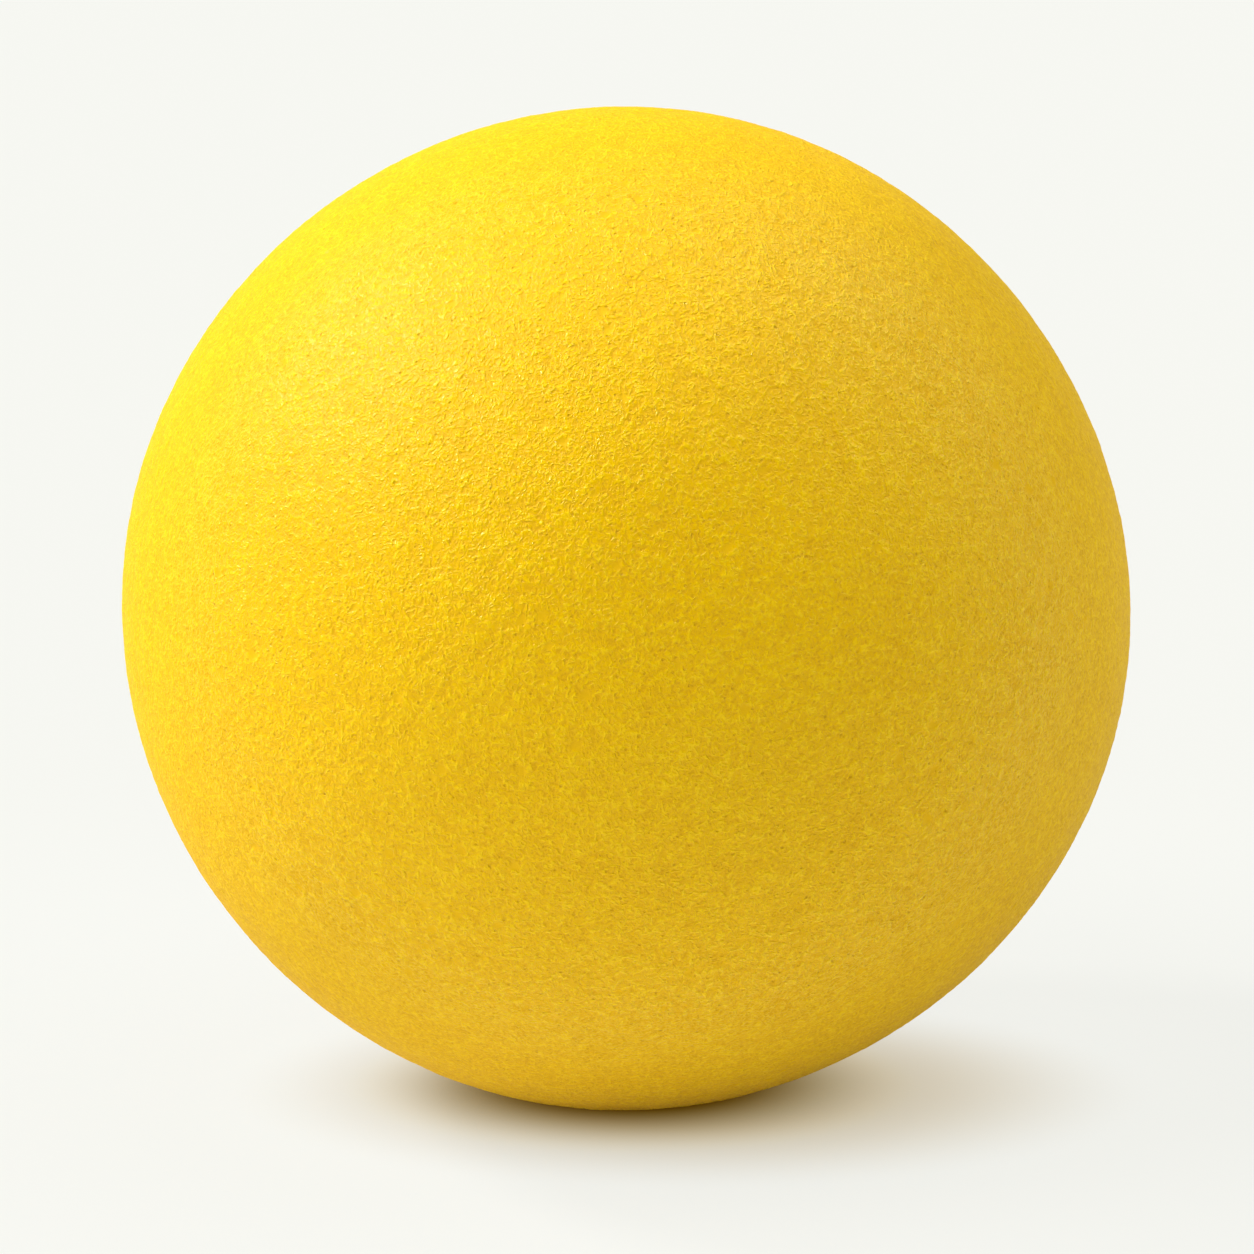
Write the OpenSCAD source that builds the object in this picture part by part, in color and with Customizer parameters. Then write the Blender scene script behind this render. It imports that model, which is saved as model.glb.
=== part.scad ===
// Coated foam dodgeball: a soft foam ball, sealed and then covered with a tough coloured skin.
// It stands on the floor at z = 0, on the small flat that its own weight presses into the foam.

/* [Ball] */
// Diameter over the finished skin
ball_d = 178; // [150:1:216]

/* [Coating] */
// Thickness of the coloured elastomer skin
skin_t = 0.5; // [0.3:0.05:1.5]
// Depth to which the primer soaks into the outer foam cells and fills them
sealed_foam_t = 1.2; // [0.5:0.1:3]

/* [Standing] */
// Height that the ball loses where it is pressed flat on the floor
floor_press = 0.5; // [0.3:0.1:2]

/* [Hidden] */

// Number of sides of the round shapes in a drawn view
round_sides = 180;
// How far the cutting block runs past the ball
cut_overrun = 1;

// Radii of the three layers, from the outside in
ball_r = ball_d / 2;
sealed_r = ball_r - skin_t;
core_r = sealed_r - sealed_foam_t;

// Heights of the flat under each layer: every layer keeps its thickness there
skin_floor_z = 0;
sealed_floor_z = skin_floor_z + skin_t;
core_floor_z = sealed_floor_z + sealed_foam_t;

// Height of the ball's centre above the floor
centre_z = ball_r - floor_press;

skin_colour = [0.95, 0.77, 0.07];
sealed_colour = [0.90, 0.80, 0.42];
foam_colour = [0.93, 0.90, 0.80];

// A ball of radius r about the common centre, with everything below floor_z cut away
module standing_ball(r, floor_z) {
    block_w = 2 * (r + cut_overrun);
    difference() {
        translate([0, 0, centre_z])
            sphere(r = r, $fn = round_sides);
        translate([-block_w / 2, -block_w / 2, floor_z - block_w])
            cube(block_w);
    }
}

// A layer that wraps the ball inside it all over, face to face
module wrapped_layer(outer_r, outer_floor_z, inner_r, inner_floor_z) {
    difference() {
        standing_ball(outer_r, outer_floor_z);
        standing_ball(inner_r, inner_floor_z);
    }
}

// The open-cell foam ball that gives the softness and the bounce
module foam_core() {
    color(foam_colour)
        standing_ball(core_r, core_floor_z);
}

// The outer foam cells, filled with primer so that the skin has a closed ground to bond to
module sealed_foam() {
    color(sealed_colour)
        wrapped_layer(sealed_r, sealed_floor_z, core_r, core_floor_z);
}

// The tough coloured skin, sprayed on and bonded to the sealed foam
module skin() {
    color(skin_colour)
        wrapped_layer(ball_r, skin_floor_z, sealed_r, sealed_floor_z);
}

foam_core();
sealed_foam();
skin();
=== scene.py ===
"""A coated foam dodgeball on a pale studio floor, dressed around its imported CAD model.

The foam core and the sealed foam keep their CAD solids and get foam finishes. The skin, which is
all that shows, is rebuilt as a closed shell whose outer wall has the real one's relief: it is a
little out of round, softly lumpy, finely wrinkled, dented where foam cells have broken under it,
and flat where it stands on the floor.

Sizes whose names end in _mm are millimetres. Everything that is put into Blender is in metres.
"""

import itertools
import logging
import math
from dataclasses import dataclass
from enum import Enum

import bpy
import numpy as np
from mathutils import Matrix, Vector


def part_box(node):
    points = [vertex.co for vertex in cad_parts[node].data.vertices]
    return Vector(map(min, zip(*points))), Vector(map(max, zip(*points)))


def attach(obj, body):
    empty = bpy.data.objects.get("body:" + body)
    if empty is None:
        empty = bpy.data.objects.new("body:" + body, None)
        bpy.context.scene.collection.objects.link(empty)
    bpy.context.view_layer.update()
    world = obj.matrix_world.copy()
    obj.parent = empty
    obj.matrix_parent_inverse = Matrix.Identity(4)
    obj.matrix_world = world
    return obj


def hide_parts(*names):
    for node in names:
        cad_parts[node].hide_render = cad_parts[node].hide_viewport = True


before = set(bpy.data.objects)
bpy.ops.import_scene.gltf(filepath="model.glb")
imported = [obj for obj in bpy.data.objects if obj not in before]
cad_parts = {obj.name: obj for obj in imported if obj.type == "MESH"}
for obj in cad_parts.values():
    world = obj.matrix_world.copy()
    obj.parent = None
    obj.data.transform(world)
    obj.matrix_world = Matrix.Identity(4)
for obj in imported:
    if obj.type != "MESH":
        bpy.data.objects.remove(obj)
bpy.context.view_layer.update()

log = logging.getLogger("dodgeball")

Rgb = tuple[float, float, float]
Rgba = tuple[float, float, float, float]
Xyz = tuple[float, float, float]
Socket = bpy.types.NodeSocket
# What a node's input takes: another node's output, a number, or a vector or colour
Feed = Socket | float | Xyz | Rgba

MM = 0.001
PER_MM = 1000.0
BODY = "root"
BAKE_MAP = "OFBake"
GRAIN_ATTRIBUTE = "grain"
DENT_ATTRIBUTE = "dent"
# How the bake's map holds the six faces of the ruled ball
MAP_COLUMNS, MAP_ROWS = 3, 2
# Margin round each face's chart, as a share of the chart
MAP_GUTTER = 0.004
# Side of the hidden lining's chart, which fits into the margin at the map's corner
LINING_CHART_SIDE = MAP_GUTTER / 8

# Seeds of the random fields; a row of swells, or of the three axes, counts on from its own
LUMP_SEED = 11
GRAIN_SEED = 21
DRAG_SEED = 31
DENT_SEED = 34
FOLD_SEED = 41
REACH_SEED = 42
# Added to a field's seed for the draw of its rotation
TURN_SEED_STEP = 1000
# Length of a field's random tables, a power of two
TABLE_LENGTH = 256
# Brings gradient noise up to about -1 to 1
SWELL_GAIN = 1.6

# A Mix node's places for two colours and for their mix, which share their names with others
MIX_COLOURS = (6, 7)
MIX_RESULT = 2
# Mean of a shader's noise texture
NOISE_MIDDLE = 0.5
# Noise at which the mottle's mask starts and at which it is full
MOTTLE_STEP = (0.3, 0.7)
# Noise at which a wrinkle's crest runs out and at which it is full
GAP_STEP = (0.32, 0.6)
# Parts the noise of the gaps from that of the crests, in cells
GAP_SHIFT = (31.7, 12.9, 47.3)

# Where the photograph shows the ball, in pixels of its own frame
PHOTO_SIDE_PX = 1254
BALL_CENTRE_PX = (626.0, 609.2)
BALL_RADIUS_PX = 501.3


class Layer(Enum):
    """The ball's layers, from the inside out, by the names of their CAD nodes."""

    FOAM_CORE = "foam_core"
    SEALED_FOAM = "sealed_foam"
    SKIN = "skin"


@dataclass(frozen=True)
class BallSize:
    """The sizes that the scene takes from the CAD model, in millimetres.

    Attributes:
        radius_mm: radius over the skin.
        centre_mm: height of the ball's centre above the floor.
        lining_radius_mm: radius of the sealed foam that lines the skin.
        lining_floor_mm: height of the flat under the sealed foam.
    """

    radius_mm: float
    centre_mm: float
    lining_radius_mm: float
    lining_floor_mm: float

    @classmethod
    def from_frame(cls) -> "BallSize":
        """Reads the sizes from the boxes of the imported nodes.

        Returns:
            The ball's sizes.
        """
        low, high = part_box(Layer.SKIN.value)
        radius = (high.x - low.x) / 2
        lining_low, lining_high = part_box(Layer.SEALED_FOAM.value)
        return cls(
            radius_mm=radius * PER_MM,
            centre_mm=(high.z - radius) * PER_MM,
            lining_radius_mm=(lining_high.x - lining_low.x) / 2 * PER_MM,
            lining_floor_mm=lining_low.z * PER_MM,
        )


# Random fields


@dataclass(frozen=True)
class LatticeNoise:
    """Smooth random fields over space, from random slopes and points on a cubic lattice.

    Attributes:
        seed: number of the random tables; the same seed gives the same field.
    """

    seed: int

    def _tables(self) -> tuple[np.ndarray, np.ndarray, np.ndarray]:
        """Draws the tables that every lattice point looks up.

        Returns:
            A shuffled order of the table's places, as many unit vectors, and as many rows of 4
            shares from 0 to 1.
        """
        rng = np.random.default_rng(self.seed)
        order = rng.permutation(TABLE_LENGTH)
        slopes = rng.normal(size=(TABLE_LENGTH, 3))
        slopes /= np.linalg.norm(slopes, axis=1, keepdims=True)
        return order, slopes.astype(np.float32), rng.random((TABLE_LENGTH, 4), dtype=np.float32)

    def _turned(self, points_mm: np.ndarray) -> np.ndarray:
        """Turns the points by a random rotation, so that no lattice lines up with the view."""
        rng = np.random.default_rng(self.seed + TURN_SEED_STEP)
        return points_mm @ np.linalg.qr(rng.normal(size=(3, 3)))[0]

    @staticmethod
    def _look_up(order: np.ndarray, home: np.ndarray) -> np.ndarray:
        """Gives each lattice point its place in the tables: the order applied to x, then y, then z.

        Args:
            order: the shuffled order.
            home: whole lattice coordinates, one row per point.

        Returns:
            Places in the tables.
        """
        last = TABLE_LENGTH - 1
        place = order[home[:, 0] & last]
        place = order[(place + home[:, 1]) & last]
        return order[(place + home[:, 2]) & last]

    def swell(self, points_mm: np.ndarray, cell_mm: float) -> np.ndarray:
        """Gradient noise: at each lattice corner a random slope through zero, blended smoothly.

        The value is the sum over the 8 corners of the cell of (slope . offset) times the product
        of the fades f(t) = t^3 (6 t^2 - 15 t + 10) along the three axes.

        Args:
            points_mm: places, one row per point.
            cell_mm: side of the lattice's cells; waves come out about 1.5 cells long.

        Returns:
            Values of about -1 to 1, half of them negative.
        """
        order, slopes, _ = self._tables()
        scaled = (self._turned(points_mm) / cell_mm).astype(np.float32)
        home = np.floor(scaled).astype(np.int32)
        local = scaled - home
        fade = local**3 * (local * (local * 6 - 15) + 10)
        total = np.zeros(len(points_mm), np.float32)
        for corner in itertools.product((0, 1), repeat=3):
            slope = slopes[self._look_up(order, home + np.array(corner, np.int32))]
            share = np.where(corner, fade, 1 - fade).prod(axis=1)
            total += share * ((local - np.array(corner, np.float32)) * slope).sum(axis=1)
        return total * SWELL_GAIN

    def bubbles(self, points_mm: np.ndarray, cell_mm: float,
                radii_mm: tuple[float, float]) -> np.ndarray:
        """How deep each point lies in the nearest of many round bubbles, one in each lattice cell.

        Inside a bubble of radius R about c the value is 1 - |p - c|^2 / R^2, and outside all 0.

        Args:
            points_mm: places, one row per point.
            cell_mm: side of the cells, over twice the largest radius.
            radii_mm: least and largest radius.

        Returns:
            Depths from 0 at a bubble's wall to 1 at its centre.
        """
        order, _, shares = self._tables()
        turned = self._turned(points_mm)
        home = np.floor(turned / cell_mm - 0.5).astype(np.int32)
        deepest = np.zeros(len(points_mm), np.float32)
        for step in itertools.product((0, 1), repeat=3):
            cell = home + np.array(step, np.int32)
            drawn = shares[self._look_up(order, cell)]
            offset = turned - (cell + drawn[:, :3]) * cell_mm
            radius = radii_mm[0] + (radii_mm[1] - radii_mm[0]) * drawn[:, 3]
            depth = 1 - (offset**2).sum(axis=1) / radius**2
            np.maximum(deepest, depth, out=deepest)
        return deepest


# The skin's shape


@dataclass(frozen=True)
class CubeGrid:
    """A ball's surface as the six faces of a cube, each ruled into equal angles.

    Attributes:
        cells: number of cells along a cube edge.
    """

    cells: int

    def _face(self, axis: int, far: bool) -> tuple[np.ndarray, np.ndarray]:
        """Whole coordinates of one face's points on a cube of side cells, and its corner order.

        Args:
            axis: the axis that the face is square to.
            far: True for the face at the axis's high end.

        Returns:
            Whole coordinates in an array of (cells + 1, cells + 1, 3), ruled so that rows cross
            columns anticlockwise as seen from outside, and each point's place in the face's own
            square chart, from 0 to 1.
        """
        ruled = np.arange(self.cells + 1)
        across, up = np.meshgrid(ruled, ruled, indexing="ij")
        lattice = np.empty((*across.shape, 3), np.int64)
        first, second = ((axis + 1) % 3, (axis + 2) % 3)
        if not far:
            first, second = second, first
        lattice[..., axis] = self.cells if far else 0
        lattice[..., first] = across
        lattice[..., second] = up
        chart = np.stack([across, up], axis=-1) / self.cells
        return lattice, chart

    def directions_and_quads(self) -> tuple[np.ndarray, np.ndarray, np.ndarray]:
        """Rules the whole ball, with the points on the cube's edges shared between its faces.

        A whole coordinate k stands for the slope tan(pi / 4 (2 k / cells - 1)), so that the rules
        part equal angles, and the three slopes are then scaled to unit length.

        Returns:
            Unit directions, one row per point; corner numbers, one row per quad, anticlockwise
            from outside; and map coordinates, one row per quad and corner, with the six faces laid
            out in columns and rows.
        """
        side = self.cells + 1
        lattices, maps = [], []
        for number, (axis, far) in enumerate(itertools.product(range(3), (False, True))):
            lattice, chart = self._face(axis, far)
            lattices.append(lattice.reshape(-1, 3))
            corner = np.array([number % MAP_COLUMNS, number // MAP_COLUMNS])
            spread = MAP_GUTTER + chart.reshape(-1, 2) * (1 - 2 * MAP_GUTTER)
            maps.append((corner + spread) / np.array([MAP_COLUMNS, MAP_ROWS]))
        whole = np.concatenate(lattices)
        keys = (whole[:, 0] * side + whole[:, 1]) * side + whole[:, 2]
        _, first, shared = np.unique(keys, return_index=True, return_inverse=True)
        slopes = np.tan(np.pi / 4 * (2 * whole[first] / self.cells - 1))
        directions = slopes / np.linalg.norm(slopes, axis=1, keepdims=True)
        start = (np.arange(self.cells)[:, None] * side + np.arange(self.cells)).ravel()
        quad = start[:, None] + np.array([0, side, side + 1, 1])
        quads = (quad + np.arange(len(lattices))[:, None, None] * side * side).reshape(-1, 4)
        return directions, shared.reshape(-1)[quads], np.concatenate(maps)[quads]


@dataclass(frozen=True)
class Lobe:
    """One way in which the ball is out of round: a Legendre wave about an axis across the view.

    Attributes:
        order: number of the wave's zero rings.
        height_mm: height of the wave at its axis.
        tilt_deg: direction of the axis in the front view, from the right towards the floor.
    """

    order: int
    height_mm: float
    tilt_deg: float

    def rise(self, directions: np.ndarray) -> np.ndarray:
        """Height times the Legendre polynomial of the cosine between each direction and the axis.

        Args:
            directions: unit vectors, one row per point.

        Returns:
            Rise in millimetres.
        """
        tilt = math.radians(self.tilt_deg)
        axis = np.array([math.cos(tilt), 0.0, -math.sin(tilt)])
        weights = [0.0] * self.order + [self.height_mm]
        return np.polynomial.legendre.legval(directions @ axis, weights)


@dataclass(frozen=True)
class Swells:
    """One size of soft random swells.

    Attributes:
        cell_mm: side of the noise's cells.
        height_mm: height of the swells.
    """

    cell_mm: float
    height_mm: float


@dataclass(frozen=True)
class SkinRelief:
    """The relief of the sprayed skin, in millimetres, coarse to fine.

    Attributes:
        lobes: how the ball is out of round.
        lumps: the soft lumps that the hand feels.
        grain: the small hollows and rises left by the foam's cells under the coat.
        fold: the worm-like folds into which the coat has shrunk.
        fold_width: half the width of a fold, as a height of the noise that it follows.
        fold_reach: share of their height that the folds keep in the mean.
        fold_reach_gain: how strongly a second noise changes that share from place to place.
        fold_reach_cells: size of the second noise's cells, in cells of the folds.
        dent_cell_mm: spacing of the bubbles that may dent the skin.
        dent_radii_mm: least and largest bubble.
        dent_depth_mm: depth of the deepest dent.
        dent_drag: swells that pull the bubbles out of round.
        dent_smooths: share of the grain that is missing in a full dent.
    """

    lobes: tuple[Lobe, ...] = (Lobe(2, 0.25, 27.0), Lobe(3, -0.16, 72.0), Lobe(4, 0.44, 12.0))
    lumps: tuple[Swells, ...] = (Swells(22.0, 0.05), Swells(8.0, 0.04))
    grain: tuple[Swells, ...] = (Swells(5.5, 0.03), Swells(3.0, 0.035), Swells(1.6, 0.058))
    fold: Swells = Swells(1.9, 0.056)
    fold_width: float = 0.3
    fold_reach: float = 0.6
    fold_reach_gain: float = 2.0
    fold_reach_cells: float = 2.0
    dent_cell_mm: float = 5.2
    dent_radii_mm: tuple[float, float] = (0.5, 1.2)
    dent_depth_mm: float = 0.13
    dent_drag: Swells = Swells(2.4, 0.35)
    dent_smooths: float = 0.7

    def folds(self, points_mm: np.ndarray) -> np.ndarray:
        """Crests along the lines where a noise n is zero: s^2 (3 - 2 s), with s = 1 - |n| / width.

        A second, coarser noise lets them run out here and there.

        Args:
            points_mm: places on the plain ball.

        Returns:
            Values from 0 between the folds to 1 on their crests.
        """
        crossing = np.abs(LatticeNoise(FOLD_SEED).swell(points_mm, self.fold.cell_mm))
        crest = np.clip(1 - crossing / self.fold_width, 0, 1)
        coarse_mm = self.fold_reach_cells * self.fold.cell_mm
        coarse = LatticeNoise(REACH_SEED).swell(points_mm, coarse_mm)
        reach = np.clip(self.fold_reach + self.fold_reach_gain * coarse, 0, 1)
        return crest**2 * (3 - 2 * crest) * reach

    def dents(self, points_mm: np.ndarray) -> np.ndarray:
        """Shallow dents with soft rims: the bubbles' depth s turned into s^2 (3 - 2 s).

        Args:
            points_mm: places on the plain ball.

        Returns:
            Values from 0 outside the dents to 1 in the middle of the deepest.
        """
        axes = (LatticeNoise(DRAG_SEED + axis) for axis in range(3))
        drag = [noise.swell(points_mm, self.dent_drag.cell_mm) for noise in axes]
        dragged = points_mm + self.dent_drag.height_mm * np.stack(drag, axis=1)
        depth = LatticeNoise(DENT_SEED).bubbles(dragged, self.dent_cell_mm, self.dent_radii_mm)
        return depth**2 * (3 - 2 * depth)

    def rises(self, directions: np.ndarray,
              radius_mm: float) -> tuple[np.ndarray, np.ndarray, np.ndarray]:
        """Adds the parts of the relief up. The grain fades inside the dents.

        Args:
            directions: unit vectors, one row per point.
            radius_mm: radius of the plain ball.

        Returns:
            The whole rise above the plain ball and the part of it that is grain, both in
            millimetres, and the dents from 0 to 1.
        """
        points = directions * radius_mm
        rise = sum(lobe.rise(directions) for lobe in self.lobes)
        for seed, lump in enumerate(self.lumps, LUMP_SEED):
            rise = rise + lump.height_mm * LatticeNoise(seed).swell(points, lump.cell_mm)
        grain = sum(
            part.height_mm * LatticeNoise(seed).swell(points, part.cell_mm)
            for seed, part in enumerate(self.grain, GRAIN_SEED)
        )
        grain = grain + self.fold.height_mm * self.folds(points)
        dents = self.dents(points)
        grain = grain * (1 - self.dent_smooths * dents)
        return rise + grain - self.dent_depth_mm * dents, grain, dents


# Shader node helpers


@dataclass
class NodeSheet:
    """A node tree being drawn, with short ways to place nodes and join them.

    Attributes:
        tree: the material's, world's or group's node tree.
    """

    tree: bpy.types.NodeTree

    def feed(self, node: bpy.types.Node, inputs: dict[str | int, Feed]) -> None:
        """Joins sockets to a node's inputs, or sets the inputs where plain values are given.

        Args:
            node: the node.
            inputs: for each input, by name or number, a socket or a value.
        """
        for name, value in inputs.items():
            if isinstance(value, Socket):
                self.tree.links.new(value, node.inputs[name])
            else:
                node.inputs[name].default_value = value

    def put(self, kind: str, inputs: dict[str | int, Feed] | None = None,
            **settings: str | bool) -> bpy.types.Node:
        """Places a node.

        Args:
            kind: the node's type, without its ShaderNode prefix.
            inputs: for each input, by name or number, a socket or a value.
            settings: the node's own properties.

        Returns:
            The node.
        """
        node = self.tree.nodes.new("ShaderNode" + kind)
        for name, value in settings.items():
            setattr(node, name, value)
        self.feed(node, inputs or {})
        return node

    def math(self, operation: str, *values: Socket | float) -> Socket:
        """Joins a Math node to its inputs in order, and gives its output."""
        return self.put("Math", dict(enumerate(values)), operation=operation).outputs[0]

    def vector(self, operation: str, *values: Socket | Xyz) -> Socket:
        """Joins a Vector Math node to its inputs in order, and gives its vector output."""
        return self.put("VectorMath", dict(enumerate(values)), operation=operation).outputs[0]

    def scaled(self, vector: Socket, share: Socket | float) -> Socket:
        """Multiplies a vector by one number."""
        return self.put("VectorMath", {0: vector, "Scale": share}, operation="SCALE").outputs[0]

    def weighed(self, *parts: tuple[Socket, float]) -> Socket:
        """Adds values up, each multiplied by its weight.

        Args:
            parts: each value's socket and its weight.

        Returns:
            The sum.
        """
        (part, weight), *others = parts
        total = self.math("MULTIPLY", part, weight)
        for part, weight in others:
            total = self.math("MULTIPLY_ADD", part, weight, total)
        return total

    def smooth(self, value: Socket, start: float, end: float, low: float = 0.0,
               high: float = 1.0) -> Socket:
        """Maps a value smoothly from the range start to end onto the range low to high."""
        inputs = {"Value": value, "From Min": start, "From Max": end, "To Min": low, "To Max": high}
        return self.put("MapRange", inputs, interpolation_type="SMOOTHSTEP").outputs["Result"]

    def blend(self, factor: Socket, first: Socket | Rgb, second: Socket | Rgb) -> Socket:
        """Mixes two colours.

        Args:
            factor: 0 for the first colour, 1 for the second.
            first: a colour or a socket.
            second: a colour or a socket.

        Returns:
            The mixed colour.
        """
        node = self.put("Mix", {0: factor}, data_type="RGBA", clamp_factor=True)
        for place, colour in zip(MIX_COLOURS, (first, second)):
            self.feed(node, {place: colour if isinstance(colour, Socket) else (*colour, 1.0)})
        return node.outputs[MIX_RESULT]


def new_group(name: str, inputs: dict[str, tuple[str, float | None]],
              outputs: dict[str, str]) -> NodeSheet:
    """Starts a shader node group with named sockets.

    Args:
        name: the group's name.
        inputs: for each input its socket type and its default value, or None for no default.
        outputs: for each output its socket type.

    Returns:
        The group's sheet, with no nodes on it yet.
    """
    tree = bpy.data.node_groups.new(name, "ShaderNodeTree")
    for label, (kind, default) in inputs.items():
        socket = tree.interface.new_socket(label, in_out="INPUT", socket_type=kind)
        if default is not None:
            socket.default_value = default
    for label, kind in outputs.items():
        tree.interface.new_socket(label, in_out="OUTPUT", socket_type=kind)
    return NodeSheet(tree)


def mottle_group() -> bpy.types.NodeTree:
    """A soft, uneven mask such as pigment and handling leave, from noise in a few sizes.

    Returns:
        The group: from a position in millimetres and a patch size it gives a Mask from 0 to 1.
    """
    name = "mottle"
    if name in bpy.data.node_groups:
        return bpy.data.node_groups[name]
    sheet = new_group(
        name,
        {"Vector": ("NodeSocketVector", None), "Patch": ("NodeSocketFloat", 10.0)},
        {"Mask": "NodeSocketFloat"},
    )
    given = sheet.tree.nodes.new("NodeGroupInput")
    scale = sheet.math("DIVIDE", 1.0, given.outputs["Patch"])
    place = sheet.scaled(given.outputs["Vector"], scale)
    noise = sheet.put("TexNoise", {"Vector": place, "Scale": 1.0, "Detail": 3.0, "Roughness": 0.55})
    mask = sheet.smooth(noise.outputs[0], *MOTTLE_STEP)
    sheet.feed(sheet.tree.nodes.new("NodeGroupOutput"), {"Mask": mask})
    return sheet.tree


def wrinkle_group() -> bpy.types.NodeTree:
    """Worm-like crests: a ridge wherever a dragged noise crosses its middle, with gaps.

    Returns:
        The group: from a position in millimetres, a cell size, a drag in cells and half a crest's
        width as a height of the noise, it gives a Height from 0 between the crests to 1 on them.
    """
    name = "wrinkles"
    if name in bpy.data.node_groups:
        return bpy.data.node_groups[name]
    sheet = new_group(
        name,
        {
            "Vector": ("NodeSocketVector", None),
            "Cell": ("NodeSocketFloat", 1.0),
            "Swirl": ("NodeSocketFloat", 1.0),
            "Width": ("NodeSocketFloat", 0.1),
        },
        {"Height": "NodeSocketFloat"},
    )
    given = sheet.tree.nodes.new("NodeGroupInput")
    scale = sheet.math("DIVIDE", 1.0, given.outputs["Cell"])
    place = sheet.scaled(given.outputs["Vector"], scale)
    drag = sheet.put("TexNoise", {"Vector": place, "Scale": 0.8, "Detail": 1.0}).outputs["Color"]
    centred = sheet.vector("SUBTRACT", drag, (NOISE_MIDDLE,) * 3)
    dragged = sheet.vector("ADD", place, sheet.scaled(centred, given.outputs["Swirl"]))
    noise = sheet.put("TexNoise", {"Vector": dragged, "Scale": 1.0, "Detail": 0.0}).outputs[0]
    fold = sheet.math("ABSOLUTE", sheet.math("SUBTRACT", noise, NOISE_MIDDLE))
    ridge = sheet.smooth(sheet.math("DIVIDE", fold, given.outputs["Width"]), 1.0, 0.0)
    elsewhere = sheet.vector("ADD", place, GAP_SHIFT)
    gaps = sheet.put("TexNoise", {"Vector": elsewhere, "Scale": 0.9, "Detail": 0.0})
    height = sheet.math("MULTIPLY", ridge, sheet.smooth(gaps.outputs[0], *GAP_STEP))
    sheet.feed(sheet.tree.nodes.new("NodeGroupOutput"), {"Height": height})
    return sheet.tree


def place_group(sheet: NodeSheet, group: bpy.types.NodeTree,
                inputs: dict[str | int, Feed]) -> bpy.types.Node:
    """Places a node group on a sheet.

    Args:
        sheet: where it goes.
        group: the group.
        inputs: for each input a socket or a value.

    Returns:
        The group's node.
    """
    node = sheet.tree.nodes.new("ShaderNodeGroup")
    node.node_tree = group
    sheet.feed(node, inputs)
    return node


def start_material(name: str) -> tuple[bpy.types.Material, NodeSheet, bpy.types.Node]:
    """Makes a material that holds only its Principled BSDF and its output.

    Args:
        name: the material's name.

    Returns:
        The material, its sheet and its Principled BSDF.
    """
    material = bpy.data.materials.new(name)
    material.use_nodes = True
    return material, NodeSheet(material.node_tree), material.node_tree.nodes["Principled BSDF"]


def place_mm(sheet: NodeSheet) -> Socket:
    """The point's own place on its object, in millimetres."""
    return sheet.scaled(sheet.put("TexCoord").outputs["Object"], PER_MM)


def turned(sheet: NodeSheet, where: Socket, angles: Xyz) -> Socket:
    """Turns a pattern's coordinates, in radians, so that its noise's grid lines up with nothing."""
    inputs = {"Vector": where, "Rotation": angles}
    return sheet.put("VectorRotate", inputs, rotation_type="EULER_XYZ").outputs[0]


# Finishes


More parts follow.
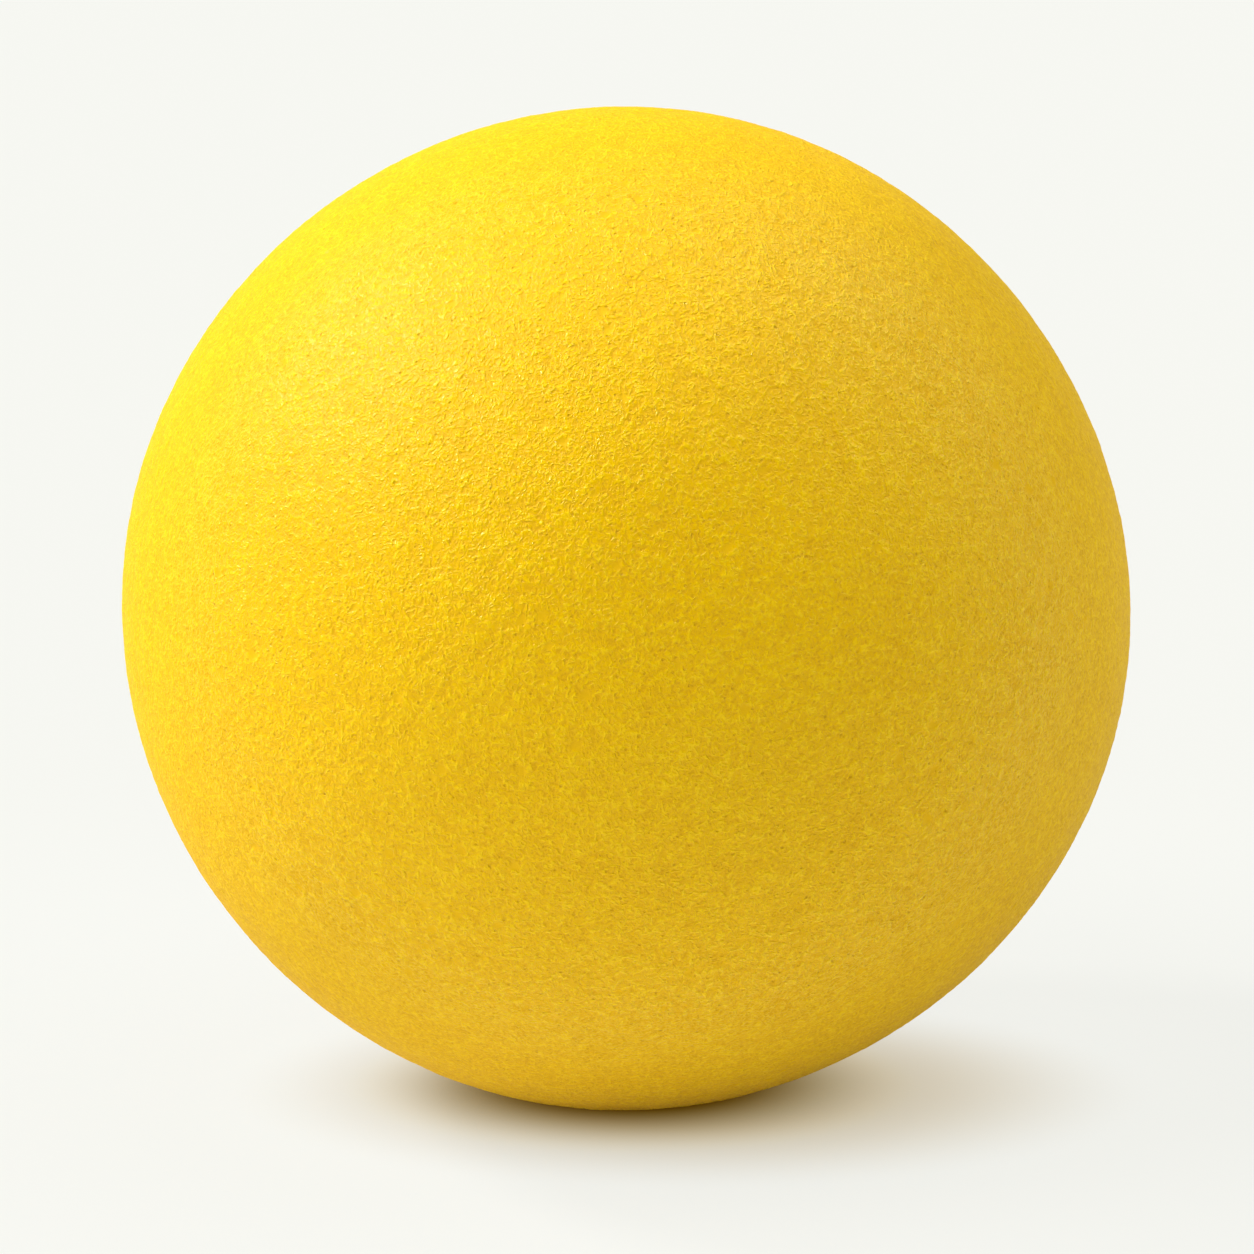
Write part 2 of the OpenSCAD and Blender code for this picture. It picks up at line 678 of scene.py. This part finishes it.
@dataclass(frozen=True)
class SkinFinish:
    """The sprayed yellow elastomer with satin gloss, fine wrinkles, small pits and painted light
    and shade.

    Each weight says how much a part of the relief counts in the level, which runs from about -1 in
    the hollows to 1 on the crests and sets the gloss and the painted shade and light of the colour.

    Attributes:
        colour: the pigment, in linear light.
        crest: painted light on the crests: a paler colour, as lit tops with their sheen look.
        hollow_shade: painted shade in hollows and pits: a deeper, oranger colour, as shade and
            bounced light give.
        roughness: roughness on the crests and in the hollows.
        grazing_roughness: least roughness where the skin is seen edge-on.
        grazing_step: facing values between which it sets in.
        shine: specular level.
        wrinkles: the two sizes of wrinkles.
        wrinkle_turns: how the grid of each is turned, in radians.
        wrinkle_swirl: how far the wrinkles are dragged, in cells.
        wrinkle_width: half the width of a wrinkle, as a height of the noise that it follows.
        wrinkle_weight: their weight.
        grit_mm: cell size of the fine unevenness between the wrinkles.
        grit_turn: how its grid is turned, in radians.
        grit_detail: how many finer sizes it has.
        grit_distortion: how far it is dragged.
        grit_height_mm: its height.
        grit_weight: its weight.
        grain_weight: weight of a millimetre of the mesh's own grain.
        dent_weight: weight of a full dent, in the gloss alone.
        dent_full: how deep a dent is, from 0 to 1, where its fine relief is faintest.
        dent_keeps: share of the fine relief that is left there.
        tone_mm: size of the broad patches of tone.
        tone_weight: their weight.
        pit_cell_mm: spacing of the pits.
        pit_radius_mm: radius of the largest pit.
        pit_floor: share of that radius within which a pit has its full depth.
        pit_depth_mm: their depth.
        pit_shade: share of the hollows' painted shade that is painted into a pit.
        gloss_step: levels at which the roughness is that of the crests and that of the hollows.
        colour_step: levels for the hollows' painted shade, the pigment and the crests' painted
            light.
    """

    colour: Rgb = (0.87, 0.51, 0.0)
    crest: Rgb = (0.95, 0.62, 0.003)
    hollow_shade: Rgb = (0.77, 0.41, 0.0)
    roughness: tuple[float, float] = (0.16, 0.6)
    grazing_roughness: float = 0.65
    grazing_step: tuple[float, float] = (0.2, 0.7)
    shine: float = 0.135
    wrinkles: tuple[Swells, Swells] = (Swells(1.15, 0.085), Swells(0.75, 0.06))
    wrinkle_turns: tuple[Xyz, Xyz] = ((0.6, 0.9, 0.4), (1.3, 0.2, 0.8))
    wrinkle_swirl: float = 1.4
    wrinkle_width: float = 0.14
    wrinkle_weight: float = 0.8
    grit_mm: float = 0.5
    grit_turn: Xyz = (-0.5, 0.3, 1.1)
    grit_detail: float = 1.5
    grit_distortion: float = 0.6
    grit_height_mm: float = 0.21
    grit_weight: float = 2.9
    grain_weight: float = 4.5
    dent_weight: float = -0.6
    dent_full: float = 0.8
    dent_keeps: float = 0.15
    tone_mm: float = 28.0
    tone_weight: float = 0.1
    pit_cell_mm: float = 1.7
    pit_radius_mm: float = 0.3
    pit_floor: float = 0.3
    pit_depth_mm: float = 0.15
    pit_shade: float = 0.8
    gloss_step: tuple[float, float] = (0.5, -0.25)
    colour_step: tuple[float, float, float] = (-0.6, 0.25, 1.2)

    def _wrinkles(self, sheet: NodeSheet, where: Socket, size: Swells, angles: Xyz) -> Socket:
        """Draws one size of wrinkles.

        Args:
            sheet: the skin's sheet.
            where: the place in millimetres.
            size: their cell and height.
            angles: how their grid is turned.

        Returns:
            Their height, from 0 to 1.
        """
        worms = {
            "Vector": turned(sheet, where, angles),
            "Cell": size.cell_mm,
            "Swirl": self.wrinkle_swirl,
            "Width": self.wrinkle_width,
        }
        return place_group(sheet, wrinkle_group(), worms).outputs["Height"]

    def _pits(self, sheet: NodeSheet, where: Socket) -> Socket:
        """Draws round pits, one near the middle of each Voronoi cell.

        Args:
            sheet: the skin's sheet.
            where: the place in millimetres.

        Returns:
            A mask of 1 in the pits.
        """
        spaced = {"Vector": where, "Scale": 1 / self.pit_cell_mm}
        cells = sheet.put("TexVoronoi", spaced, feature="F1")
        reach = self.pit_radius_mm / self.pit_cell_mm
        return sheet.smooth(cells.outputs["Distance"], reach, self.pit_floor * reach)

    def material(self) -> bpy.types.Material:
        """Draws the material's nodes.

        Returns:
            The skin's material.
        """
        material, sheet, bsdf = start_material("skin_elastomer")
        where = place_mm(sheet)
        grain = sheet.put("Attribute", attribute_name=GRAIN_ATTRIBUTE).outputs["Fac"]
        dent = sheet.put("Attribute", attribute_name=DENT_ATTRIBUTE).outputs["Fac"]
        undented = sheet.smooth(dent, 0.0, self.dent_full, 1.0, self.dent_keeps)

        folded, creased = (
            sheet.math("MULTIPLY", self._wrinkles(sheet, where, size, angles), undented)
            for size, angles in zip(self.wrinkles, self.wrinkle_turns)
        )
        sanded = {
            "Vector": turned(sheet, where, self.grit_turn),
            "Scale": 1 / self.grit_mm,
            "Detail": self.grit_detail,
            "Distortion": self.grit_distortion,
        }
        grit = sheet.math("SUBTRACT", sheet.put("TexNoise", sanded).outputs[0], NOISE_MIDDLE)
        grit = sheet.math("MULTIPLY", grit, undented)
        pits = self._pits(sheet, where)

        height = sheet.weighed(
            (folded, self.wrinkles[0].height_mm),
            (creased, self.wrinkles[1].height_mm),
            (grit, self.grit_height_mm),
            (pits, -self.pit_depth_mm),
        )
        bump = sheet.put("Bump", {"Strength": 1.0, "Distance": MM, "Height": height})

        patches = {"Vector": where, "Patch": self.tone_mm}
        tone = place_group(sheet, mottle_group(), patches).outputs["Mask"]
        level = sheet.weighed(
            (grain, self.grain_weight),
            (folded, self.wrinkle_weight),
            (creased, self.wrinkle_weight),
            (grit, self.grit_weight),
            (sheet.math("SUBTRACT", tone, NOISE_MIDDLE), self.tone_weight),
        )
        # Painted shade and light: low relief takes the deeper colour of the hollows, high relief
        # the paler colour of the crests
        low, middle, high = self.colour_step
        colour = sheet.blend(sheet.smooth(level, middle, low), self.colour, self.hollow_shade)
        colour = sheet.blend(sheet.smooth(level, middle, high), colour, self.crest)
        # Painted shade: the pits take most of the hollows' deeper colour
        colour = sheet.blend(sheet.math("MULTIPLY", pits, self.pit_shade), colour, self.hollow_shade)

        dulled = sheet.math("MULTIPLY_ADD", dent, self.dent_weight, level)
        rough = sheet.smooth(dulled, *self.gloss_step, *self.roughness)
        facing = sheet.put("LayerWeight", {"Blend": 0.5}).outputs["Facing"]
        edge_on = sheet.smooth(facing, *self.grazing_step, 0.0, self.grazing_roughness)
        rough = sheet.math("MAXIMUM", rough, edge_on)

        bsdf.inputs["Specular IOR Level"].default_value = self.shine
        sheet.feed(bsdf, {"Base Color": colour, "Roughness": rough, "Normal": bump.outputs[0]})
        return material


@dataclass(frozen=True)
class FoamFinish:
    """Polyurethane foam with small round cells between thin walls, with painted shade inside the
    cells.

    Attributes:
        name: the material's name.
        wall: colour of the cell walls, in linear light.
        hollow_shade: painted shade inside the cells, darker than the walls.
        cell_mm: size of the cells.
        depth_mm: how far the open cells sink in.
        roughness: the foam's roughness.
        opening: distances from a cell's wall at which it starts to sink and at which it is open, as
            shares of the cell.
        tone_mm: size of the patches where the cells look filled.
        tone_share: how far they do.
        shine: specular level.
    """

    name: str
    wall: Rgb
    hollow_shade: Rgb
    cell_mm: float
    depth_mm: float
    roughness: float
    opening: tuple[float, float] = (0.04, 0.3)
    tone_mm: float = 6.0
    tone_share: float = 0.25
    shine: float = 0.2

    def material(self) -> bpy.types.Material:
        """Draws the material's nodes.

        Returns:
            The foam's material.
        """
        material, sheet, bsdf = start_material(self.name)
        where = place_mm(sheet)
        packed = {"Vector": where, "Scale": 1 / self.cell_mm}
        cells = sheet.put("TexVoronoi", packed, feature="DISTANCE_TO_EDGE")
        opened = sheet.smooth(cells.outputs["Distance"], *self.opening)
        patches = {"Vector": where, "Patch": self.tone_mm}
        tone = place_group(sheet, mottle_group(), patches).outputs["Mask"]
        # Painted shade: the open cells' insides take the darker colour
        colour = sheet.blend(opened, self.wall, self.hollow_shade)
        colour = sheet.blend(sheet.math("MULTIPLY", tone, self.tone_share), colour, self.wall)
        height = sheet.math("MULTIPLY", opened, -self.depth_mm)
        bump = sheet.put("Bump", {"Strength": 1.0, "Distance": MM, "Height": height})
        bsdf.inputs["Roughness"].default_value = self.roughness
        bsdf.inputs["Specular IOR Level"].default_value = self.shine
        sheet.feed(bsdf, {"Base Color": colour, "Normal": bump.outputs[0]})
        return material


# The ball


def add_object(name: str, data: bpy.types.ID) -> bpy.types.Object:
    """Adds an object to the scene, with the mesh, lamp or camera that is its data."""
    added = bpy.data.objects.new(name, data)
    bpy.context.scene.collection.objects.link(added)
    return added


@dataclass(frozen=True)
class Skin:
    """The skin as a closed shell: a finely ruled outer wall with the relief, and a plain lining.

    Attributes:
        size: the ball's sizes from the CAD model.
        relief: the outer wall's relief.
        finish: what it is made of.
        outer: ruling of the outer wall.
        lining: ruling of the wall that touches the sealed foam.
    """

    size: BallSize
    relief: SkinRelief = SkinRelief()
    finish: SkinFinish = SkinFinish()
    outer: CubeGrid = CubeGrid(384)
    lining: CubeGrid = CubeGrid(40)

    def _standing(self, directions: np.ndarray, radii_mm: np.ndarray | float,
                  floor_mm: float) -> np.ndarray:
        """Points at the given radii about the ball's centre, raised to the flat where it is higher.

        Args:
            directions: unit vectors, one row per point.
            radii_mm: distance from the ball's centre, for all points or for each.
            floor_mm: height of the flat.

        Returns:
            Places in metres.
        """
        places = directions * np.reshape(radii_mm, (-1, 1))
        places[:, 2] = np.maximum(places[:, 2] + self.size.centre_mm, floor_mm)
        return places * MM

    def build(self) -> bpy.types.Object:
        """Builds the shell's mesh, with its bake map and its grain and dent attributes.

        Returns:
            The finished piece, dressed and riding on the ball's body.
        """
        ways, quads, chart = self.outer.directions_and_quads()
        rise, grain, dents = self.relief.rises(ways, self.size.radius_mm)
        outside = self._standing(ways, self.size.radius_mm + rise, 0.0)
        lining_ways, lining_quads, lining_chart = self.lining.directions_and_quads()
        lined = self._standing(lining_ways, self.size.lining_radius_mm, self.size.lining_floor_mm)
        inward = lining_quads[:, ::-1] + len(outside)
        lining_map = LINING_CHART_SIDE + lining_chart[:, ::-1] * LINING_CHART_SIDE
        mesh = mesh_from_quads(
            Layer.SKIN.value,
            np.concatenate([outside, lined]),
            np.concatenate([quads, inward]),
            np.concatenate([chart, lining_map]),
        )
        plain = np.zeros(len(lined))
        for label, values in ((GRAIN_ATTRIBUTE, grain), (DENT_ATTRIBUTE, dents)):
            held = mesh.attributes.new(label, "FLOAT", "POINT")
            held.data.foreach_set("value", np.append(values, plain).astype(np.float32))
        piece = add_object("coated_skin", mesh)
        piece.data.materials.append(self.finish.material())
        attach(piece, BODY)
        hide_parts(Layer.SKIN.value)
        return piece


def mesh_from_quads(name: str, places: np.ndarray, quads: np.ndarray,
                    chart: np.ndarray) -> bpy.types.Mesh:
    """Puts whole arrays of points, quads and map coordinates into a smooth mesh.

    Args:
        name: the mesh's name.
        places: points in metres, one row each.
        quads: four point numbers per face, anticlockwise from outside.
        chart: map coordinates per face and corner.

    Returns:
        The mesh.
    """
    mesh = bpy.data.meshes.new(name)
    mesh.vertices.add(len(places))
    mesh.vertices.foreach_set("co", places.astype(np.float32).ravel())
    mesh.loops.add(quads.size)
    mesh.loops.foreach_set("vertex_index", quads.astype(np.int32).ravel())
    mesh.polygons.add(len(quads))
    mesh.polygons.foreach_set("loop_start", np.arange(0, quads.size, 4, dtype=np.int32))
    mesh.polygons.foreach_set("use_smooth", np.ones(len(quads), bool))
    layer = mesh.uv_layers.new(name=BAKE_MAP)
    layer.data.foreach_set("uv", chart.astype(np.float32).ravel())
    mesh.update(calc_edges=True)
    return mesh


@dataclass(frozen=True)
class FoamBall:
    """The two foam layers, which keep their CAD solids.

    Attributes:
        core: finish of the open-cell foam core.
        sealed: finish of the foam whose cells the primer fills.
    """

    core: FoamFinish = FoamFinish(
        name="open_cell_foam",
        wall=(0.84, 0.78, 0.60),
        hollow_shade=(0.50, 0.43, 0.28),
        cell_mm=1.1,
        depth_mm=0.5,
        roughness=0.9,
    )
    sealed: FoamFinish = FoamFinish(
        name="sealed_foam",
        wall=(0.80, 0.62, 0.17),
        hollow_shade=(0.66, 0.46, 0.08),
        cell_mm=0.9,
        depth_mm=0.12,
        roughness=0.7,
    )

    def dress(self) -> list[bpy.types.Object]:
        """Gives both CAD nodes their foam finish.

        Returns:
            The two nodes' objects.
        """
        dressed = []
        for layer, finish in ((Layer.FOAM_CORE, self.core), (Layer.SEALED_FOAM, self.sealed)):
            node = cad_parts[layer.value]
            material = finish.material()
            if not node.material_slots:
                node.data.materials.append(material)
            for slot in node.material_slots:
                slot.material = material
            dressed.append(node)
        return dressed


# The studio


@dataclass(frozen=True)
class SoftLamp:
    """A far, wide studio lamp.

    Attributes:
        name: what it does.
        azimuth_deg: where it stands, from the far side of the ball (0) round by the right (90).
        height_deg: its height above the floor.
        width_deg: how wide it looks from the ball.
        strength: its light on a surface that faces it.
    """

    name: str
    azimuth_deg: float
    height_deg: float
    width_deg: float
    strength: float

    def place(self) -> bpy.types.Object:
        """Adds the lamp.

        Returns:
            The lamp's object.
        """
        lamp = bpy.data.lights.new(self.name, "SUN")
        lamp.energy = self.strength
        lamp.angle = math.radians(self.width_deg)
        stand = add_object(self.name, lamp)
        azimuth, height = math.radians(self.azimuth_deg), math.radians(self.height_deg)
        towards = Vector((
            math.sin(azimuth) * math.cos(height),
            math.cos(azimuth) * math.cos(height),
            math.sin(height),
        ))
        stand.rotation_euler = towards.to_track_quat("Z", "Y").to_euler()
        return stand


@dataclass(frozen=True)
class FloorGlow:
    """The look of a white floor: an even glow that whitens it as a lit backdrop does, with a
    painted shadow at the ball's foot.

    The glow goes out under the ball in two parts, which paint that shadow: a broad outer part and a
    darker core. Blue goes first, as painted yellow light bounced off the skin. Near the ball the
    glow is raised a little as painted light that fills the lamps' own shadows.

    Attributes:
        centre_mm: middle of the painted shadow's core, near the ball's foot.
        across_share: distance across the view is counted by this share, which widens the core.
        dark_mm: where the glow of the core's part starts, in red, green and blue.
        bright_mm: where it is full.
        outer_shadow_centre_mm: middle of the painted outer shadow, right of the foot and a little
            before it.
        outer_shadow_across_share: the painted outer shadow's own share across the view.
        outer_shadow_dark_mm: where the glow of the painted outer shadow's part starts.
        outer_shadow_mm: how far the painted outer shadow reaches.
        outer_shadow_share: the painted outer shadow's part of the glow.
        far_mm: where the lamps' own light on the floor is full too, so that less glow is needed.
        near: the full glow near the ball, raised as painted light where the lamps' shadows fall.
        far: the glow beyond far_mm.
    """

    centre_mm: tuple[float, float] = (1.1, -2.4)
    across_share: float = 0.69
    dark_mm: Rgb = (8.2, 10.4, 14.0)
    bright_mm: Rgb = (35.1, 35.9, 37.3)
    outer_shadow_centre_mm: tuple[float, float] = (11.6, -4.0)
    outer_shadow_across_share: float = 0.61
    outer_shadow_dark_mm: Rgb = (16.2, 18.5, 20.2)
    outer_shadow_mm: float = 52.6
    outer_shadow_share: Rgb = (0.317, 0.386, 0.497)
    far_mm: float = 247.0
    near: Rgb = (0.821, 0.830, 0.793)
    far: Rgb = (0.804, 0.809, 0.765)

    @staticmethod
    def _reach(sheet: NodeSheet, centre_mm: tuple[float, float], across_share: float) -> Socket:
        """Draws the distance from a point of the floor.

        Args:
            sheet: the floor's sheet.
            centre_mm: the point.
            across_share: distance across the view is counted by this share.

        Returns:
            The distance in millimetres.
        """
        place = sheet.vector("SUBTRACT", place_mm(sheet), (*centre_mm, 0.0))
        place = sheet.vector("MULTIPLY", place, (across_share, 1.0, 0.0))
        return sheet.put("VectorMath", {0: place}, operation="LENGTH").outputs["Value"]

    def draw(self, sheet: NodeSheet) -> Socket:
        """Draws the glow over the floor's own coordinates.

        Args:
            sheet: the floor's sheet.

        Returns:
            The glow's colour.
        """
        reach = self._reach(sheet, self.centre_mm, self.across_share)
        outer_shadow_reach = self._reach(sheet, self.outer_shadow_centre_mm, self.outer_shadow_across_share)
        light = []
        hues = zip(self.dark_mm, self.bright_mm, self.outer_shadow_dark_mm, self.outer_shadow_share, self.near, self.far)
        # Painted shadow: each colour's glow rises from dark at the foot to full, blue last as
        # painted bounce
        for dark_mm, bright_mm, outer_shadow_dark_mm, outer_shadow_share, near, far in hues:
            risen = sheet.smooth(reach, dark_mm, bright_mm, 0.0, near * (1 - outer_shadow_share))
            cleared = sheet.smooth(outer_shadow_reach, outer_shadow_dark_mm, self.outer_shadow_mm, 0.0, near * outer_shadow_share)
            eased = sheet.smooth(reach, bright_mm, self.far_mm, 0.0, near - far)
            light.append(sheet.math("SUBTRACT", sheet.math("ADD", risen, cleared), eased))
        return sheet.put("CombineColor", dict(enumerate(light))).outputs[0]


def seen_directly(sheet: NodeSheet) -> Socket:
    """Draws a switch that is 1 for the camera's own rays and those by gloss or through glass.

    Args:
        sheet: the material's or the world's sheet.

    Returns:
        The switch.
    """
    path = sheet.put("LightPath").outputs
    seen = sheet.math("MAXIMUM", path["Is Camera Ray"], path["Is Glossy Ray"])
    return sheet.math("MAXIMUM", seen, path["Is Transmission Ray"])


@dataclass(frozen=True)
class Studio:
    """The pale floor, the soft lamps, the pale surroundings and the camera.

    Attributes:
        floor_side_m: side of the floor.
        floor_colour: the floor's paint, in linear light, by which it lights the ball from below.
        floor_shaded: the part of its look that is lit and shaded, as a paint.
        floor_glow: the rest of its look: a backdrop's even white, with a painted shadow at the
            ball's foot.
        surround: what the camera and gloss see past the floor.
        dim_front: how much of that gloss misses on the camera's side, where the studio is dim.
        dim_step: how far a direction points away from the camera, from -1 to 1, where the dimming
            starts and where it is full.
        room_light: strength of the surroundings' light on everything else.
        lamps: the lamps.
        camera_height_deg: how far the camera looks down at the ball.
        lens_mm: the camera's focal length.
        sensor_mm: width of its sensor.
        sight_m: how far it sees.
    """

    floor_side_m: float = 60.0
    floor_colour: Rgb = (0.80, 0.805, 0.775)
    floor_shaded: Rgb = (0.081, 0.081, 0.079)
    floor_glow: FloorGlow = FloorGlow()
    surround: Rgb = (0.915, 0.93, 0.885)
    dim_front: float = 0.85
    dim_step: tuple[float, float] = (0.2, -0.6)
    room_light: float = 0.02
    lamps: tuple[SoftLamp, ...] = (
        SoftLamp("key_softbox", -72.0, 41.0, 12.0, 2.0),
        SoftLamp("front_softbox", -110.0, 50.0, 36.0, 2.2),
        SoftLamp("left_softbox", -100.0, 28.0, 36.0, 0.3),
        SoftLamp("top_right_panel", 75.0, 70.0, 50.0, 1.25),
        SoftLamp("right_fill", 90.0, 40.0, 50.0, 0.6),
    )
    camera_height_deg: float = 12.0
    lens_mm: float = 100.0
    sensor_mm: float = 36.0
    sight_m: float = 200.0

    def lay_floor(self) -> bpy.types.Object:
        """Adds the floor, a large plain sheet.

        Returns:
            The floor's object.
        """
        half = self.floor_side_m / 2
        mesh = bpy.data.meshes.new("studio_floor")
        corners = [(-half, -half, 0.0), (half, -half, 0.0), (half, half, 0.0), (-half, half, 0.0)]
        mesh.from_pydata(corners, [], [(0, 1, 2, 3)])
        floor = add_object("studio_floor", mesh)
        material, sheet, bsdf = start_material("floor_paint")
        bsdf.inputs["Base Color"].default_value = (*self.floor_colour, 1.0)
        bsdf.inputs["Roughness"].default_value = 1.0
        bsdf.inputs["Specular IOR Level"].default_value = 0.0
        shaded = sheet.put("BsdfDiffuse", {"Color": (*self.floor_shaded, 1.0)})
        # The glow paints the shadow at the ball's foot
        glow = sheet.put("Emission", {"Color": self.floor_glow.draw(sheet), "Strength": 1.0})
        look = sheet.put("AddShader", {0: shaded.outputs[0], 1: glow.outputs[0]})
        looks = {0: seen_directly(sheet), 1: bsdf.outputs[0], 2: look.outputs[0]}
        mixed = sheet.put("MixShader", looks)
        sheet.feed(material.node_tree.nodes["Material Output"], {"Surface": mixed.outputs[0]})
        mesh.materials.append(material)
        return floor

    def surround_world(self) -> bpy.types.World:
        """Sets the surroundings: pale to the camera, gloss and glass, and dim as a light.

        To gloss they fall off towards the camera's side. The world's coordinates are directions.

        Returns:
            The world.
        """
        world = bpy.data.worlds.new("studio_surround")
        world.use_nodes = True
        sheet = NodeSheet(world.node_tree)
        dim = world.node_tree.nodes["Background"]
        dim.inputs["Color"].default_value = (*self.surround, 1.0)
        dim.inputs["Strength"].default_value = self.room_light
        direction = sheet.put("TexCoord").outputs["Generated"]
        ahead = sheet.put("SeparateXYZ", {0: direction}).outputs["Y"]
        in_front = sheet.smooth(ahead, *self.dim_step, 0.0, self.dim_front)
        missing = sheet.math("MULTIPLY", in_front, sheet.put("LightPath").outputs["Is Glossy Ray"])
        strength = sheet.math("SUBTRACT", 1.0, missing)
        pale = sheet.put("Background", {"Color": (*self.surround, 1.0), "Strength": strength})
        looks = {0: seen_directly(sheet), 1: dim.outputs[0], 2: pale.outputs[0]}
        mixed = sheet.put("MixShader", looks)
        sheet.feed(world.node_tree.nodes["World Output"], {"Surface": mixed.outputs[0]})
        bpy.context.scene.world = world
        return world

    def set_camera(self, size: BallSize) -> bpy.types.Object:
        """Adds the camera so that the ball has its size and place in the photograph's frame.

        The distance is r / sin(atan(R / f)), with r the ball's radius, R its radius in pixels and
        f the focal length in pixels. The camera is then turned by the pixels between the ball's
        centre and the frame's.

        Args:
            size: the ball's sizes.

        Returns:
            The camera's object.
        """
        data = bpy.data.cameras.new("photo_camera")
        data.lens = self.lens_mm
        data.sensor_width = self.sensor_mm
        data.clip_end = self.sight_m
        focal_px = self.lens_mm / self.sensor_mm * PHOTO_SIDE_PX
        distance = size.radius_mm * MM / math.sin(math.atan(BALL_RADIUS_PX / focal_px))
        down = math.radians(self.camera_height_deg)
        ahead = Vector((0.0, math.cos(down), -math.sin(down)))
        turn_x = -math.atan((PHOTO_SIDE_PX / 2 - BALL_CENTRE_PX[1]) / focal_px)
        turn_y = -math.atan((PHOTO_SIDE_PX / 2 - BALL_CENTRE_PX[0]) / focal_px)
        aim = ahead.to_track_quat("-Z", "Y").to_matrix()
        aim = aim @ Matrix.Rotation(turn_x, 3, "X") @ Matrix.Rotation(turn_y, 3, "Y")
        camera = add_object("photo_camera", data)
        camera.location = Vector((0.0, 0.0, size.centre_mm * MM)) - distance * ahead
        camera.rotation_euler = aim.to_euler()
        bpy.context.scene.camera = camera
        return camera

    def build(self, size: BallSize) -> None:
        """Adds everything in the studio.

        Args:
            size: the ball's sizes.
        """
        self.set_camera(size)
        self.lay_floor()
        self.surround_world()
        for lamp in self.lamps:
            lamp.place()
            log.info("lamp %s", lamp.name)


def main() -> None:
    """Builds the ball and its studio in order, and reports each piece."""
    logging.basicConfig(level=logging.INFO, format="%(name)s: %(message)s")
    size = BallSize.from_frame()
    log.info("ball radius %.2f mm, centre %.2f mm up", size.radius_mm, size.centre_mm)
    Studio().build(size)
    for node in FoamBall().dress():
        log.info("dressed %s", node.name)
    skin = Skin(size).build()
    log.info("built %s with %d faces", skin.name, len(skin.data.polygons))
    bpy.context.scene.view_settings.view_transform = "Standard"


if __name__ == "__main__":
    main()
